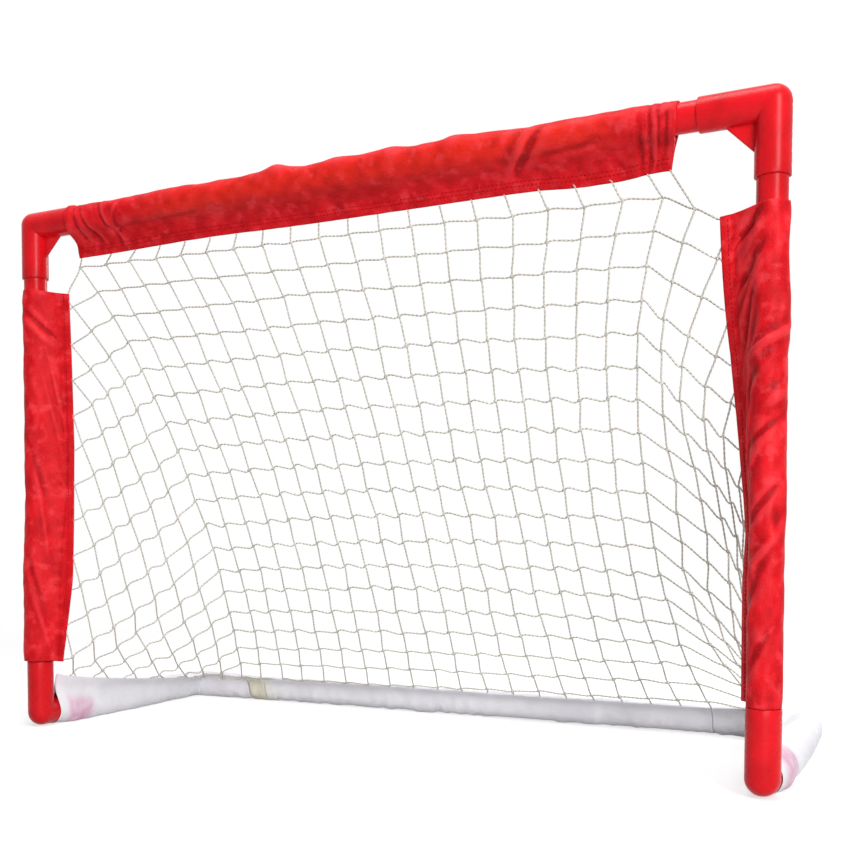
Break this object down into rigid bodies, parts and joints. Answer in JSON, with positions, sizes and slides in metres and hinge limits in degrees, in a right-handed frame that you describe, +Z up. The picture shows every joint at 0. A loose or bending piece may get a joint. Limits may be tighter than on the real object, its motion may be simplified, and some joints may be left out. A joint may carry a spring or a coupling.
{
  "type": "hockey goal",
  "caption": "Small push-fit tube-frame hockey goal with cloth sleeves on its tubes and a square-mesh net sewn to the sleeves' hems.",
  "frame": {"origin": "on the floor, at the middle of the goal's footprint", "axes": "+X along the goal line to the right seen from the front, +Y back from the mouth to the rear tube, +Z up"},
  "size_m": [0.7204, 0.2919, 0.5037],
  "materials": {
    "red_plastic": "glossy moulded PVC",
    "white_plastic": "glossy extruded PVC, under the cloth",
    "red_cloth": "satin polyester knit",
    "white_cloth": "thin satin polyester",
    "cream_tape": "matt woven tape",
    "label_cloth": "satin ribbon, blank",
    "net_cord": "matt twisted cord"
  },
  "bodies": {
    "root": {"top_elbow_left": "red_plastic", "top_elbow_right": "red_plastic", "foot_elbow_left": "red_plastic", "foot_elbow_right": "red_plastic", "rear_elbow_left": "white_plastic", "rear_elbow_right": "white_plastic", "crossbar_tube_left": "red_plastic", "crossbar_tube_right": "red_plastic", "crossbar_coupling": "red_plastic", "post_tube_left": "red_plastic", "post_tube_right": "red_plastic", "side_tube_left": "white_plastic", "side_tube_right": "white_plastic", "rear_tube_left": "white_plastic", "rear_tube_right": "white_plastic", "rear_coupling": "white_plastic", "crossbar_sleeve": "red_cloth", "post_sleeve_left": "red_cloth", "post_sleeve_right": "red_cloth", "side_sleeve_left": "white_cloth", "side_sleeve_right": "white_cloth", "corner_sleeve_left": "white_cloth", "corner_sleeve_right": "white_cloth", "rear_sleeve": "white_cloth", "closure_tape": "cream_tape", "sewn_label": "label_cloth", "net_back": "net_cord", "net_side_left": "net_cord", "net_side_right": "net_cord"}
  },
  "joints": []
}
